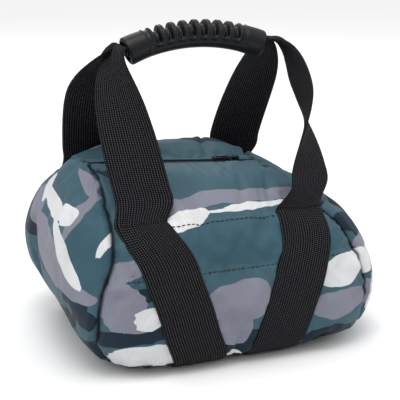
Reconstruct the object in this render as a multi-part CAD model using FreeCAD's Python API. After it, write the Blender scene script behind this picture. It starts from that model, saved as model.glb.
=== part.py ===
"""Kettlebell-style sandbag: a stuffed zip-top bag with a rubber carry grip on webbing loops.

Millimetres, +Z up, +X along the grip, -Y is the front. The origin is the centre of the
footprint, on the floor. The bag is a stack of rounded-box outlines; every fabric layer is
the slice between two such stacks, and every panel or webbing run is a region of a layer.
"""
import FreeCAD, Part
import math
import os
from FreeCAD import Vector

os.makedirs("parts", exist_ok=True)

# ---------------------------------------------------------------- driving dimensions
WEBBING_WIDTH = 50.0
WEBBING_THICK = 2.0
FABRIC_THICK = 1.6
BAND_THICK = 1.2
LINER_THICK = 0.5
LAYER_GAP = 0.3

# Outline of the bag at each height: height, half length, half depth, squareness,
# shift along X, and how much the outline falls towards +X per mm.
OUTLINES = [
    (2.0, 116.0, 98.0, 4.0, 0.0, 0.0),
    (9.0, 130.0, 108.0, 4.4, 0.0, 0.0),
    (28.0, 145.0, 117.0, 5.0, 0.0, 0.0),
    (58.0, 148.0, 120.0, 5.0, 0.0, 0.0),
    (88.0, 144.0, 119.0, 5.0, -3.0, 0.0),
    (110.0, 134.0, 115.0, 4.8, -8.0, 0.0),
    (128.0, 122.0, 104.0, 4.4, -12.0, 0.01),
    (143.0, 109.0, 84.0, 3.8, -16.0, 0.03),
    (155.0, 97.0, 56.0, 3.2, -20.0, 0.055),
    (161.0, 88.0, 26.0, 3.0, -21.0, 0.075),
]
OUTLINE_POINTS = 36
BOTTOM = OUTLINES[0][0]
TOP = OUTLINES[-1][0]
TOP_SLOPE = OUTLINES[-1][5]
BULGE_HEIGHT = 58.0
REACH = 200.0          # further out than any part of the bag

# Webbing runs in a V on each face: distance of the run's centre from the middle plane
RUN_FOOT = 33.5        # at the floor
RUN_LEAN = 0.33        # mm outward per mm of height
RUN_TOP = 137.0        # height where the webbing leaves the bag
RISER_CLEARANCE = 2.6  # how far the free webbing stands off the bag where it leaves it
RISER_FOOT_RISE = 3.4  # height of the free webbing's foot over the top of the sewn run
BASE_RUN_EDGE = 92.0   # |Y| where the base run turns up into the face run
BASE_LEAN = RUN_FOOT / BASE_RUN_EDGE

# Zip: a straight line along the top, lower at its closed (right) end
ZIP_LEFT = -104.0
ZIP_RIGHT = 60.0
TAPE_WIDTH = 13.0
TAPE_THICK = 0.9
TOOTH_PITCH = 3.0
TOOTH_LENGTH = 2.2     # across the zip
TOOTH_WIDTH = 1.7      # along the zip
TOOTH_HEIGHT = 2.0
ROW_GAP = 0.8          # half the gap between the two rows of teeth
SLOT_HALF = 6.5        # half width of the opening between the panels over the zip
STOP_INSET = 9.0       # from each end of the zip to the middle of its stop
STOP_HALF = 2.0        # half length of a stop
SLIDER_HALF = 6.0      # half length of the slider along the zip
SLIDER_HALF_WIDTH = 4.6
PLATE_THICK = 1.2
SLIDER_GAP = 0.4       # between the teeth and the slider's plates
PULL_LENGTH = 24.0
PULL_HALF_WIDTH = 4.0
PULL_HALF_THICK = 0.7
PULL_NECK_HALF = 2.0
PULL_FRAME = 3.0       # width of the pull's frame round its window, at its free end

# Handle
GRIP_END_X = 68.0
GRIP_END_Z = 267.0
GRIP_MID_Z = 281.0
COLLAR_R = 13.6
WAIST_R = 11.6
RIB_R = 13.4
RIB_TUBE = 2.6
RIB_PITCH = 11.2
RIB_COUNT = 8
COLLAR_LENGTH = 22.0
CORE_WIDTH = 17.0
CORE_THICK = 3.4       # one folded layer of webbing
GRIP_SLIT = 2.0

BASE_SEAM_Z = 8.0
BAND_LOW = 97.0
BAND_HIGH = 135.0
BAND_REACH = 104.0     # half length of the stiffening bands


# ---------------------------------------------------------------- bag layers
def outline_wire(row, inset):
    """One closed outline, moved in by inset (out if negative)."""
    height, half_length, half_depth, squareness, shift, slope = row
    half_length -= inset
    half_depth -= inset
    span = (TOP - BULGE_HEIGHT) if height > BULGE_HEIGHT else (BULGE_HEIGHT - BOTTOM)
    height -= inset * (height - BULGE_HEIGHT) / span
    points = []
    for index in range(OUTLINE_POINTS):
        angle = 2 * math.pi * index / OUTLINE_POINTS
        cosine = abs(math.cos(angle)) / half_length
        sine = abs(math.sin(angle)) / half_depth
        radius = (cosine ** squareness + sine ** squareness) ** (-1 / squareness)
        x = shift + radius * math.cos(angle)
        y = radius * math.sin(angle)
        points.append(Vector(x, y, height - slope * x))
    curve = Part.BSplineCurve()
    curve.interpolate(Points=points, PeriodicFlag=True)
    return Part.Wire([curve.toShape()])


def bag_solid(inset):
    return Part.makeLoft([outline_wire(row, inset) for row in OUTLINES], True, False)


def block(x0, x1, y0, y1, z0, z1):
    return Part.makeBox(x1 - x0, y1 - y0, z1 - z0, Vector(x0, y0, z0))


def prism(corners, direction):
    """A polygon given by its corners, swept along a vector."""
    return Part.Face(Part.makePolygon(corners + corners[:1])).extrude(direction)


def outline_depth(x, z):
    """Half depth of the bag at a place along it, at a height."""
    low, high = OUTLINES[0], OUTLINES[-1]
    for first, second in zip(OUTLINES, OUTLINES[1:]):
        if first[0] <= z <= second[0]:
            low, high = first, second
    part = (z - low[0]) / (high[0] - low[0])
    row = [a + (b - a) * part for a, b in zip(low, high)]
    across = min(abs((x - row[4]) / row[1]), 1.0)
    return row[2] * (1 - across ** row[3]) ** (1 / row[3])


strap_layer_outside = bag_solid(-WEBBING_THICK)
fabric_outside = bag_solid(0.0)
fabric_inside = bag_solid(FABRIC_THICK)
band_inside = bag_solid(FABRIC_THICK + BAND_THICK)
liner_outside = bag_solid(FABRIC_THICK + BAND_THICK + LAYER_GAP)
liner_inside = bag_solid(FABRIC_THICK + BAND_THICK + LAYER_GAP + LINER_THICK)
sand_outside = bag_solid(FABRIC_THICK + BAND_THICK + 2 * LAYER_GAP + LINER_THICK)

strap_layer = strap_layer_outside.cut(fabric_outside)
fabric = fabric_outside.cut(fabric_inside)
band_layer = fabric_inside.cut(band_inside)

nodes = {}


# ---------------------------------------------------------------- zip
ZIP_ANGLE = math.degrees(math.atan(TOP_SLOPE))
ZIP_ORIGIN = Vector(0, 0, TOP - FABRIC_THICK - TAPE_THICK - LAYER_GAP)


def on_zip_line(shape):
    """Lay a shape made about the X axis along the sloping zip line."""
    shape = shape.copy()
    shape.rotate(Vector(0, 0, 0), Vector(0, 1, 0), ZIP_ANGLE)
    shape.translate(ZIP_ORIGIN)
    return shape


def zip_tape(side):
    inner = ROW_GAP + TOOTH_LENGTH
    y0, y1 = sorted((side * inner, side * (inner + TAPE_WIDTH)))
    return on_zip_line(block(ZIP_LEFT + 3, ZIP_RIGHT - 3, y0, y1, 0, TAPE_THICK))


def zip_teeth(side, offset):
    """A row of separate moulded teeth along one tape's edge."""
    y0, y1 = sorted((side * ROW_GAP, side * (ROW_GAP + TOOTH_LENGTH)))
    middle = TAPE_THICK / 2
    teeth = []
    x = ZIP_LEFT + STOP_INSET + STOP_HALF + 1 + offset
    while x < ZIP_RIGHT - STOP_INSET - STOP_HALF - TOOTH_WIDTH - LAYER_GAP:
        teeth.append(block(x, x + TOOTH_WIDTH, y0, y1, middle - TOOTH_HEIGHT / 2, middle + TOOTH_HEIGHT / 2))
        x += TOOTH_PITCH
    return on_zip_line(Part.makeCompound(teeth))


def zip_stop(x):
    half = ROW_GAP + TOOTH_LENGTH
    return on_zip_line(block(x - STOP_HALF, x + STOP_HALF, -half, half, -0.8, TAPE_THICK + 1.2))


SLIDER_X = ZIP_RIGHT - 18
PLATE_Z = TAPE_THICK / 2 + TOOTH_HEIGHT / 2 + SLIDER_GAP
PIN_Z = PLATE_Z + 3.6
PIN_R = 0.8


def along_slider(x0, x1, half_width, z0, z1):
    """A block on the slider, placed from the slider's middle."""
    return block(SLIDER_X + x0, SLIDER_X + x1, -half_width, half_width, z0, z1)


def round_corners(shape, radius):
    """Round the upright edges of a plate."""
    return shape.makeFillet(radius, [e for e in shape.Edges if abs(e.tangentAt(e.FirstParameter).z) > 0.9])


def zip_slider():
    top = along_slider(-SLIDER_HALF, SLIDER_HALF, SLIDER_HALF_WIDTH, PLATE_Z, PLATE_Z + PLATE_THICK)
    under_z = TAPE_THICK / 2 - TOOTH_HEIGHT / 2 - SLIDER_GAP
    under = along_slider(-SLIDER_HALF, SLIDER_HALF, SLIDER_HALF_WIDTH, under_z - 0.9, under_z)
    post = along_slider(1, 5, 0.5, under_z, PLATE_Z)
    body = round_corners(top, 2.5).fuse([under, post])
    for side in (-1, 1):
        y0, y1 = sorted((side * 2.6, side * 3.8))
        body = body.fuse(block(SLIDER_X - 2, SLIDER_X + 2, y0, y1, PLATE_Z + PLATE_THICK, PIN_Z + 2 * PIN_R))
    pin = Part.makeCylinder(PIN_R, 6.4, Vector(SLIDER_X, -3.2, PIN_Z), Vector(0, 1, 0))
    return on_zip_line(body.fuse(pin).removeSplitter())


def zip_pull():
    """A flat tab with an eye that turns on the slider's pin; it lies towards -X."""
    low, high = PIN_Z - PULL_HALF_THICK, PIN_Z + PULL_HALF_THICK
    eye = Part.makeCylinder(PIN_R + 1.2, 4.0, Vector(SLIDER_X, -2.0, PIN_Z), Vector(0, 1, 0))
    neck = along_slider(-6, -0.5, PULL_NECK_HALF, low, high)
    tab = round_corners(along_slider(-PULL_LENGTH, -5, PULL_HALF_WIDTH, low, high), 2.0)
    window = along_slider(PULL_FRAME - PULL_LENGTH, -9, PULL_HALF_WIDTH - 2, low - 1, high + 1)
    hole = Part.makeCylinder(PIN_R + LAYER_GAP, 8.0, Vector(SLIDER_X, -4.0, PIN_Z), Vector(0, 1, 0))
    return on_zip_line(eye.fuse([neck, tab]).cut(window).cut(hole).removeSplitter())


nodes["front_zip_tape"] = zip_tape(-1)
nodes["back_zip_tape"] = zip_tape(1)
nodes["front_zip_teeth"] = zip_teeth(-1, 0.0)
nodes["back_zip_teeth"] = zip_teeth(1, TOOTH_PITCH / 2)
nodes["left_zip_stop"] = zip_stop(ZIP_LEFT + STOP_INSET)
nodes["right_zip_stop"] = zip_stop(ZIP_RIGHT - STOP_INSET)
nodes["zip_slider"] = zip_slider()
nodes["zip_pull"] = zip_pull()

# ---------------------------------------------------------------- base webbing
def base_strip(lean, width, z0, z1, y_limit):
    """A straight strip under the base, through the origin, slanting by lean."""
    half = width / 2 * math.hypot(1, lean)
    corners = [Vector(sx * half + lean * y, y, z0) for sx, y in
               ((-1, -y_limit), (1, -y_limit), (1, y_limit), (-1, y_limit))]
    return prism(corners, Vector(0, 0, z1 - z0))


lower_run = base_strip(BASE_LEAN, WEBBING_WIDTH, 0, WEBBING_THICK, BASE_RUN_EDGE)
upper_strip = base_strip(-BASE_LEAN, WEBBING_WIDTH, 0, WEBBING_THICK, BASE_RUN_EDGE)
clear_of_lower = base_strip(BASE_LEAN, WEBBING_WIDTH + 2 * LAYER_GAP, 0, WEBBING_THICK, BASE_RUN_EDGE)
crossing = base_strip(-BASE_LEAN, WEBBING_WIDTH, WEBBING_THICK, 2 * WEBBING_THICK, BASE_RUN_EDGE)
crossing = crossing.common(base_strip(BASE_LEAN, WEBBING_WIDTH + 8, 0, 2 * WEBBING_THICK, BASE_RUN_EDGE))
nodes["lower_base_webbing"] = lower_run.common(strap_layer_outside)
nodes["upper_base_webbing"] = upper_strip.cut(clear_of_lower).common(strap_layer_outside).fuse(crossing)
bump = base_strip(-BASE_LEAN, WEBBING_WIDTH + 1, 0, 2 * WEBBING_THICK + LAYER_GAP, BASE_RUN_EDGE)
bump = bump.common(base_strip(BASE_LEAN, WEBBING_WIDTH + 9, 0, 2 * WEBBING_THICK + LAYER_GAP, BASE_RUN_EDGE))

# ---------------------------------------------------------------- panels
END_SEAMS = {
    "left": [(-104, 220), (-104, 163), (-128, 97), (-126, 55), (-108, 0), (-REACH, 0), (-REACH, 220)],
    "right": [(64, 220), (64, 156), (92, 131), (122, 106), (128, 60), (108, 0), (REACH, 0), (REACH, 220)],
}


def end_region(side):
    corners = [Vector(x, -REACH, z) for x, z in END_SEAMS[side]]
    return prism(corners, Vector(0, 2 * REACH, 0))


above_base = block(-REACH, REACH, -REACH, REACH, BASE_SEAM_Z, 220)
left_region = end_region("left")
right_region = end_region("right")
upper_fabric = fabric.common(above_base)
zip_slot = block(ZIP_LEFT + 2, ZIP_RIGHT + 2, -SLOT_HALF, SLOT_HALF, TOP - 40, TOP + 40)
nodes["base_panel"] = fabric.cut(above_base).cut(bump)
nodes["left_end_panel"] = upper_fabric.common(left_region)
nodes["right_end_panel"] = upper_fabric.common(right_region)
long_fabric = upper_fabric.cut([left_region, right_region, zip_slot])
nodes["front_panel"] = long_fabric.common(block(-REACH, REACH, -REACH, 0, 0, 220))
nodes["back_panel"] = long_fabric.common(block(-REACH, REACH, 0, REACH, 0, 220))

# ---------------------------------------------------------------- filling
zip_clearance = on_zip_line(block(ZIP_LEFT, ZIP_RIGHT, -17, 17, -2.2, 20))
bands = band_layer.common(block(-BAND_REACH, BAND_REACH, -REACH, REACH, BAND_LOW, BAND_HIGH))
nodes["front_inner_band"] = bands.common(block(-BAND_REACH, BAND_REACH, -REACH, -60, 0, 220))
nodes["back_inner_band"] = bands.common(block(-BAND_REACH, BAND_REACH, 60, REACH, 0, 220))
lowered = zip_clearance.copy()
lowered.translate(Vector(0, 0, -LAYER_GAP - LINER_THICK))
nodes["liner_bag"] = liner_outside.cut(liner_inside).cut(zip_clearance)
nodes["sand_fill"] = sand_outside.cut(lowered)


# ---------------------------------------------------------------- webbing on the faces
def face_run(x_side, y_side):
    """One webbing run on a long face, leaning out towards its top."""
    half = WEBBING_WIDTH / 2 * math.hypot(1, RUN_LEAN)
    top_x = RUN_FOOT + RUN_LEAN * RUN_TOP
    corners = [Vector(x_side * x, 0, z) for x, z in
               ((RUN_FOOT - half, 0), (RUN_FOOT + half, 0), (top_x + half, RUN_TOP), (top_x - half, RUN_TOP))]
    region = prism(corners, Vector(0, y_side * REACH, 0))
    y0, y1 = sorted((y_side * (BASE_RUN_EDGE + LAYER_GAP), y_side * REACH))
    outside_base = block(-REACH, REACH, y0, y1, 0, 220)
    return strap_layer.common(region).common(outside_base)


for face, y_side in (("front", -1), ("back", 1)):
    for end, x_side in (("left", -1), ("right", 1)):
        nodes[f"{face}_{end}_webbing"] = face_run(x_side, y_side)


# ---------------------------------------------------------------- free webbing to the grip
def strap_section(centre, across, normal, width, thick):
    across = across.normalize()
    normal = (normal - across * normal.dot(across)).normalize()
    corners = []
    for su, sn in ((-1, -1), (1, -1), (1, 1), (-1, 1)):
        corners.append(centre + across * (su * width / 2) + normal * (sn * thick / 2))
    return Part.makePolygon(corners + corners[:1])


def riser(x_side, y_side):
    """Free webbing from the bag's shoulder, turning as it goes, into the end of the grip."""
    foot_x = RUN_FOOT + RUN_LEAN * RUN_TOP
    foot_y = outline_depth(x_side * foot_x, RUN_TOP) + WEBBING_THICK / 2 + RISER_CLEARANCE
    stations = [
        # x, |y|, z, width direction (x, y, z), normal (x, y, z), width, thickness
        (foot_x, foot_y, RUN_TOP + RISER_FOOT_RISE, (1, 0.25, 0), (0.2, -0.9, 0.3), WEBBING_WIDTH, WEBBING_THICK),
        (foot_x + 7, foot_y - 8, RUN_TOP + 24, (0.85, 0.5, 0.1), (0.4, -0.8, 0.3), 48, WEBBING_THICK),
        (foot_x + 13, foot_y - 34, RUN_TOP + 58, (0.45, 0.9, 0.1), (0.9, -0.4, 0.1), 46, WEBBING_THICK),
        (foot_x + 13, foot_y - 56, RUN_TOP + 88, (0.2, 0.95, 0.2), (1, -0.2, 0.1), 42, 2.6),
        (foot_x + 6, 19.0, RUN_TOP + 112, (0.0, 0.98, 0.2), (0.9, 0, 0.5), 34, 3.2),
        (foot_x - 2, 13.5, GRIP_END_Z - 6, (0.0, 1, 0.1), (0.6, 0, 0.8), 22, 4.0),
        (GRIP_END_X + 0.4, 5.5, GRIP_END_Z - 1, (0.0, 1, 0.0), (0.2, 0, 1), 8, 7.0),
    ]
    sections = []
    for x, y, z, across, normal, width, thick in stations:
        centre = Vector(x_side * x, y_side * y, z)
        across = Vector(x_side * across[0], -y_side * across[1], across[2])
        normal = Vector(x_side * normal[0], -y_side * normal[1], normal[2])
        if x_side * y_side < 0:
            across = across * -1
        sections.append(strap_section(centre, across, normal, width, thick))
    return Part.makeLoft(sections, True, False)


for face, y_side in (("front", -1), ("back", 1)):
    for end, x_side in (("left", -1), ("right", 1)):
        nodes[f"{face}_{end}_riser"] = riser(x_side, y_side)

# ---------------------------------------------------------------- grip
GRIP_R = (GRIP_END_X ** 2 + (GRIP_MID_Z - GRIP_END_Z) ** 2) / (2 * (GRIP_MID_Z - GRIP_END_Z))
GRIP_CENTRE = Vector(0, 0, GRIP_MID_Z - GRIP_R)


def grip_arc(x0, x1):
    """The grip's arched centre line between two places along X."""
    points = []
    for x in (x0, (x0 + x1) / 2, x1):
        points.append(Vector(x, 0, GRIP_CENTRE.z + math.sqrt(GRIP_R ** 2 - x ** 2)))
    return Part.Wire([Part.Arc(*points).toShape()])


def along_grip(profile_wire, x0, x1):
    """Sweep a profile drawn in the YZ plane about the origin along the arch."""
    start_angle = math.asin(x0 / GRIP_R)
    wire = profile_wire.copy()
    wire.rotate(Vector(0, 0, 0), Vector(0, 1, 0), math.degrees(start_angle))
    wire.translate(Vector(x0, 0, GRIP_CENTRE.z + math.sqrt(GRIP_R ** 2 - x0 ** 2)))
    return grip_arc(x0, x1).makePipeShell([wire], True, True)


def ring_profile(radius):
    return Part.Wire([Part.makeCircle(radius, Vector(0, 0, 0), Vector(1, 0, 0))])


def box_profile(y0, y1, z0, z1):
    corners = [Vector(0, y0, z0), Vector(0, y1, z0), Vector(0, y1, z1), Vector(0, y0, z1)]
    return Part.makePolygon(corners + corners[:1])


def rib(x):
    """One rounded rib round the waist of the grip."""
    angle = math.asin(x / GRIP_R)
    centre = Vector(x, 0, GRIP_CENTRE.z + math.sqrt(GRIP_R ** 2 - x ** 2))
    axis = Vector(math.cos(angle), 0, -math.sin(angle))
    return Part.makeTorus(RIB_R - RIB_TUBE, RIB_TUBE, centre, axis)


def grip():
    body = along_grip(ring_profile(WAIST_R), -GRIP_END_X, GRIP_END_X)
    for side in (-1, 1):
        x0, x1 = sorted((side * GRIP_END_X, side * (GRIP_END_X - COLLAR_LENGTH)))
        body = body.fuse(along_grip(ring_profile(COLLAR_R), x0, x1))
    for index in range(RIB_COUNT):
        body = body.fuse(rib((index - (RIB_COUNT - 1) / 2) * RIB_PITCH))
    room = CORE_THICK + LAYER_GAP
    core = along_grip(box_profile(-CORE_WIDTH / 2 - LAYER_GAP, CORE_WIDTH / 2 + LAYER_GAP, -room, room),
                      -GRIP_END_X - 0.01, GRIP_END_X + 0.01)
    slit = along_grip(box_profile(-GRIP_SLIT / 2, GRIP_SLIT / 2, -COLLAR_R - 2, 0),
                      -GRIP_END_X - 0.01, GRIP_END_X + 0.01)
    return body.cut(core).cut(slit)


nodes["grip"] = grip()
half_core = CORE_WIDTH / 2
nodes["front_grip_webbing"] = along_grip(box_profile(-half_core, half_core, 0.05, CORE_THICK),
                                         -GRIP_END_X, GRIP_END_X)
nodes["back_grip_webbing"] = along_grip(box_profile(-half_core, half_core, -CORE_THICK, -0.05),
                                        -GRIP_END_X, GRIP_END_X)

# ---------------------------------------------------------------- export
for name, shape in nodes.items():
    solids = [s for s in shape.Solids if s.Volume > 1.0]
    result = solids[0] if len(solids) == 1 else Part.makeCompound(solids)
    result.exportStep(f"parts/{name}.step")
    box = result.BoundBox
    print(f"{name:22s} solids {len(solids):3d} valid {result.isValid()} volume {result.Volume / 1000:9.2f} cm3 "
          f"x {box.XMin:7.1f} {box.XMax:7.1f} y {box.YMin:7.1f} {box.YMax:7.1f} z {box.ZMin:6.1f} {box.ZMax:6.1f}")
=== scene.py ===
# %% [markdown]
# # A kettlebell-style sandbag
#
# The object is a stuffed fabric bag with a zip along its top, two webbing loops sewn down its
# faces, and a moulded rubber grip that holds the loops together above it. The design's sizes,
# joints and hard parts are already settled in a CAD model, which is loaded here as a fixed
# frame. This notebook makes the looks: a sewn shell that puffs between its seams, webbing that
# twists on its way to the grip, stitches, a zip, and the finishes.

# %% Load the frame
import math

import bpy
import numpy as np
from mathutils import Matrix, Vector


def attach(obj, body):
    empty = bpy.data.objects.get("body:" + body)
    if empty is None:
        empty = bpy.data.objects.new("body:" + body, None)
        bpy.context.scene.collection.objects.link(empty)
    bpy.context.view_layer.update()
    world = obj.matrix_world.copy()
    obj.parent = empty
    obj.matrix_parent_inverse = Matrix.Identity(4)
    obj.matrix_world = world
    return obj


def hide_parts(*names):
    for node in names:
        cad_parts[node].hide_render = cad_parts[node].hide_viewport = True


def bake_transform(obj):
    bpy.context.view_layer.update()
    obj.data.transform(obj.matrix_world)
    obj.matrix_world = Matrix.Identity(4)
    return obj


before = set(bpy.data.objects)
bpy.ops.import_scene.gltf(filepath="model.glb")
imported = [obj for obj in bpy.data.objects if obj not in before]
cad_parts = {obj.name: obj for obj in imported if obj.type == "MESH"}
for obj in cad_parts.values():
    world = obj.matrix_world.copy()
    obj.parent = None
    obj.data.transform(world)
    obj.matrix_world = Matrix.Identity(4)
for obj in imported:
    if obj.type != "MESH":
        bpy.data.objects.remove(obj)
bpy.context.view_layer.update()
MM = 0.001

# %% [markdown]
# ## Grids of points
#
# Nearly everything here is cloth or strap, and both are sheets. A sheet is easiest to make as a
# grid: rows and columns of points, joined into four-sided faces. Blender can make grids with
# its Grid primitive and then bend them, but here each point's place follows from a formula, so
# the mesh is built directly from the numbers. All formulas work in millimetres; one function
# turns them to metres on the way into Blender.

# %% Grid helpers
def normalise(vectors):
    return vectors / np.maximum(np.linalg.norm(vectors, axis=-1, keepdims=True), 1e-9)


def smooth(low, high, value):
    """0 below low, 1 above high, and an even S between them."""
    part = np.clip((value - low) / (high - low), 0, 1)
    return part * part * (3 - 2 * part)


def catmull(points, steps):
    """A smooth curve through points: steps samples in each gap, along the first axis."""
    points = np.asarray(points, float)
    before = np.concatenate([2 * points[:1] - points[1:2], points, 2 * points[-1:] - points[-2:-1]])
    result = []
    for index in range(len(points) - 1):
        p0, p1, p2, p3 = before[index:index + 4]
        for step in range(steps):
            t = step / steps
            result.append(0.5 * (2 * p1 + (p2 - p0) * t + (2 * p0 - 5 * p1 + 4 * p2 - p3) * t ** 2
                                 + (3 * p1 - p0 - 3 * p2 + p3) * t ** 3))
    result.append(points[-1])
    return np.array(result)


def grid_faces(rows, columns, wrap=False):
    """Faces of a grid whose points are listed row by row; wrap joins the last column to the first."""
    faces = []
    last = columns if wrap else columns - 1
    for row in range(rows - 1):
        for column in range(last):
            right = (column + 1) % columns
            faces.append((row * columns + column, row * columns + right,
                          (row + 1) * columns + right, (row + 1) * columns + column))
    return faces


def make_piece(name, points, faces, material, uv=None):
    """A smooth-shaded object from points in millimetres; uv gives each point a place on its cloth."""
    mesh = bpy.data.meshes.new(name)
    mesh.from_pydata((np.asarray(points).reshape(-1, 3) * MM).tolist(), [], faces)
    mesh.polygons.foreach_set("use_smooth", [True] * len(mesh.polygons))
    if uv is not None:
        layer = mesh.uv_layers.new(name="cloth_mm")
        corners = np.zeros(len(mesh.loops), dtype=np.int32)
        mesh.loops.foreach_get("vertex_index", corners)
        layer.data.foreach_set("uv", np.asarray(uv, float).reshape(-1, 2)[corners].ravel())
    mesh.validate()
    piece = bpy.data.objects.new(name, mesh)
    bpy.context.scene.collection.objects.link(piece)
    if material is not None:
        mesh.materials.append(material)
    return piece


def grid_normals(points, wrap=False):
    """The direction square to a grid at each of its points."""
    if wrap:
        along = np.roll(points, -1, axis=1) - np.roll(points, 1, axis=1)
    else:
        along = np.gradient(points, axis=1)
    up = np.gradient(points, axis=0)
    return normalise(np.cross(along, up))


def slab(name, outer, normals, thickness, material, uv=None):
    """A sheet with thickness: the outer grid, a copy moved inwards, and a rim joining them."""
    rows, columns = outer.shape[:2]
    inner = outer - normals * np.asarray(thickness)[..., None]
    points = np.concatenate([outer.reshape(-1, 3), inner.reshape(-1, 3)])
    count = rows * columns
    faces = grid_faces(rows, columns)
    faces += [tuple(count + i for i in reversed(face)) for face in grid_faces(rows, columns)]
    rim = [c for c in range(columns)] + [r * columns + columns - 1 for r in range(1, rows)]
    rim += [(rows - 1) * columns + c for c in range(columns - 2, -1, -1)]
    rim += [r * columns for r in range(rows - 2, 0, -1)]
    for a, b in zip(rim, rim[1:] + rim[:1]):
        faces.append((b, a, count + a, count + b))
    if uv is not None:
        uv = np.concatenate([uv.reshape(-1, 2), uv.reshape(-1, 2)])
    return make_piece(name, points, faces, material, uv)

# %% [markdown]
# ## Camera, floor and light
#
# The camera stands front-left and a little above, with a long lens, so the bag keeps its true
# proportions. Light comes from four square softboxes: a strong one above and slightly in front,
# weaker ones at the front left and the right, and one behind. The sky adds a soft light from above.

# %% Camera, floor and lights
VIEW_YAW = 22.0        # degrees the camera looks towards +X, away from +Y
VIEW_PITCH = 16.3      # degrees it looks down
VIEW_DISTANCE = 1.040
VIEW_LENS = 97.65
VIEW_TARGET = Vector((0.0055, 0.0, 0.1217))


def look_along(yaw, pitch):
    yaw, pitch = math.radians(yaw), math.radians(pitch)
    return Vector((math.sin(yaw) * math.cos(pitch), math.cos(yaw) * math.cos(pitch), -math.sin(pitch)))


def add_camera():
    data = bpy.data.cameras.new("camera")
    data.lens = VIEW_LENS
    data.sensor_width = 36.0
    camera = bpy.data.objects.new("camera", data)
    direction = look_along(VIEW_YAW, VIEW_PITCH)
    camera.location = VIEW_TARGET - direction * VIEW_DISTANCE
    camera.rotation_euler = direction.to_track_quat("-Z", "Y").to_euler()
    bpy.context.scene.collection.objects.link(camera)
    bpy.context.scene.camera = camera


def add_area_light(name, place, size, power):
    data = bpy.data.lights.new(name, "AREA")
    data.shape = "SQUARE"
    data.size = size
    data.energy = power
    light = bpy.data.objects.new(name, data)
    light.location = place
    light.rotation_euler = (Vector((0, 0, 0.12)) - Vector(place)).to_track_quat("-Z", "Y").to_euler()
    bpy.context.scene.collection.objects.link(light)


add_camera()
add_area_light("top_softbox", (-0.35, -0.45, 1.8), 0.9, 13)
add_area_light("front_softbox", (-1.2, -1.5, 0.9), 0.6, 3.0)
add_area_light("side_softbox", (1.5, -0.5, 0.9), 0.6, 2.5)
add_area_light("back_softbox", (0.2, 1.5, 1.3), 0.9, 5)

# %% [markdown]
# ## Colours and the node helper
#
# Colours are picked as hex values, which are how a screen stores them. Blender's shaders work
# with linear light, so one function converts. A second small function adds a node, sets its
# options and links its inputs, which keeps each material short enough to read.

# %% Colour and node helpers
def hex_colour(code):
    """An sRGB hex colour such as 2f4f5c as linear RGBA."""
    values = [int(code[i:i + 2], 16) / 255 for i in (0, 2, 4)]
    linear = [v / 12.92 if v <= 0.04045 else ((v + 0.055) / 1.055) ** 2.4 for v in values]
    return (*linear, 1.0)


def add_node(tree, kind, links=None, **settings):
    """Adds a node. settings are its options; links maps input names or numbers to values or sockets."""
    node = tree.nodes.new(kind)
    for name, value in settings.items():
        setattr(node, name, value)
    for name, value in (links or {}).items():
        socket = node.inputs[name]
        if isinstance(value, bpy.types.NodeSocket):
            tree.links.new(value, socket)
        else:
            socket.default_value = value
    return node


def new_material(name):
    material = bpy.data.materials.new(name)
    material.use_nodes = True
    tree = material.node_tree
    shader = tree.nodes["Principled BSDF"]
    return material, tree, shader


def math_node(tree, operation, first, second=0.0, third=0.0):
    node = add_node(tree, "ShaderNodeMath", {0: first, 1: second, 2: third}, operation=operation)
    return node.outputs[0]

# %% [markdown]
# ## Floor
#
# A pale seamless floor: it only has to catch the soft shadow under the bag.

# %% Floor and world
HORIZON_LIGHT = 0.22   # the sky is a big overhead diffuser: dim at the sides
ZENITH_LIGHT = 1.35    # and bright above


def add_floor():
    material, _, shader = new_material("studio_paper")
    shader.inputs["Base Color"].default_value = hex_colour("f4f4f4")
    shader.inputs["Roughness"].default_value = 0.9
    half = 6.0
    mesh = bpy.data.meshes.new("floor")
    corners = [(-half, -half, 0), (half, -half, 0), (half, half, 0), (-half, half, 0)]
    mesh.from_pydata(corners, [], [(0, 1, 2, 3)])
    mesh.materials.append(material)
    floor = bpy.data.objects.new("floor", mesh)
    bpy.context.scene.collection.objects.link(floor)


def set_world():
    world = bpy.data.worlds.new("studio")
    world.use_nodes = True
    tree = world.node_tree
    sky = add_node(tree, "ShaderNodeTexCoord").outputs["Generated"]
    up = add_node(tree, "ShaderNodeSeparateXYZ", {0: sky})
    strength = add_node(tree, "ShaderNodeMapRange", {
        "Value": up.outputs[2], "From Min": 0.0, "From Max": 1.0,
        "To Min": HORIZON_LIGHT, "To Max": ZENITH_LIGHT}).outputs[0]
    tree.links.new(strength, tree.nodes["Background"].inputs[1])
    tree.nodes["Background"].inputs[0].default_value = (1.0, 1.0, 1.0, 1.0)
    bpy.context.scene.world = world
    bpy.context.scene.view_settings.view_transform = "Standard"


add_floor()
set_world()

# %% [markdown]
# ## The bag's outline
#
# A sewn bag is described well by its outline at each height: long, deep and nearly square at the
# belly, narrow at the top. Each key row below is one outline. The rows are joined smoothly, from
# the centre of the base, round the bottom edge, up the sides, over the puffed shoulders and down
# into the valley where the zip lies. The zip's right end is lower than its left end, because the
# filling has settled that way.

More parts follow.
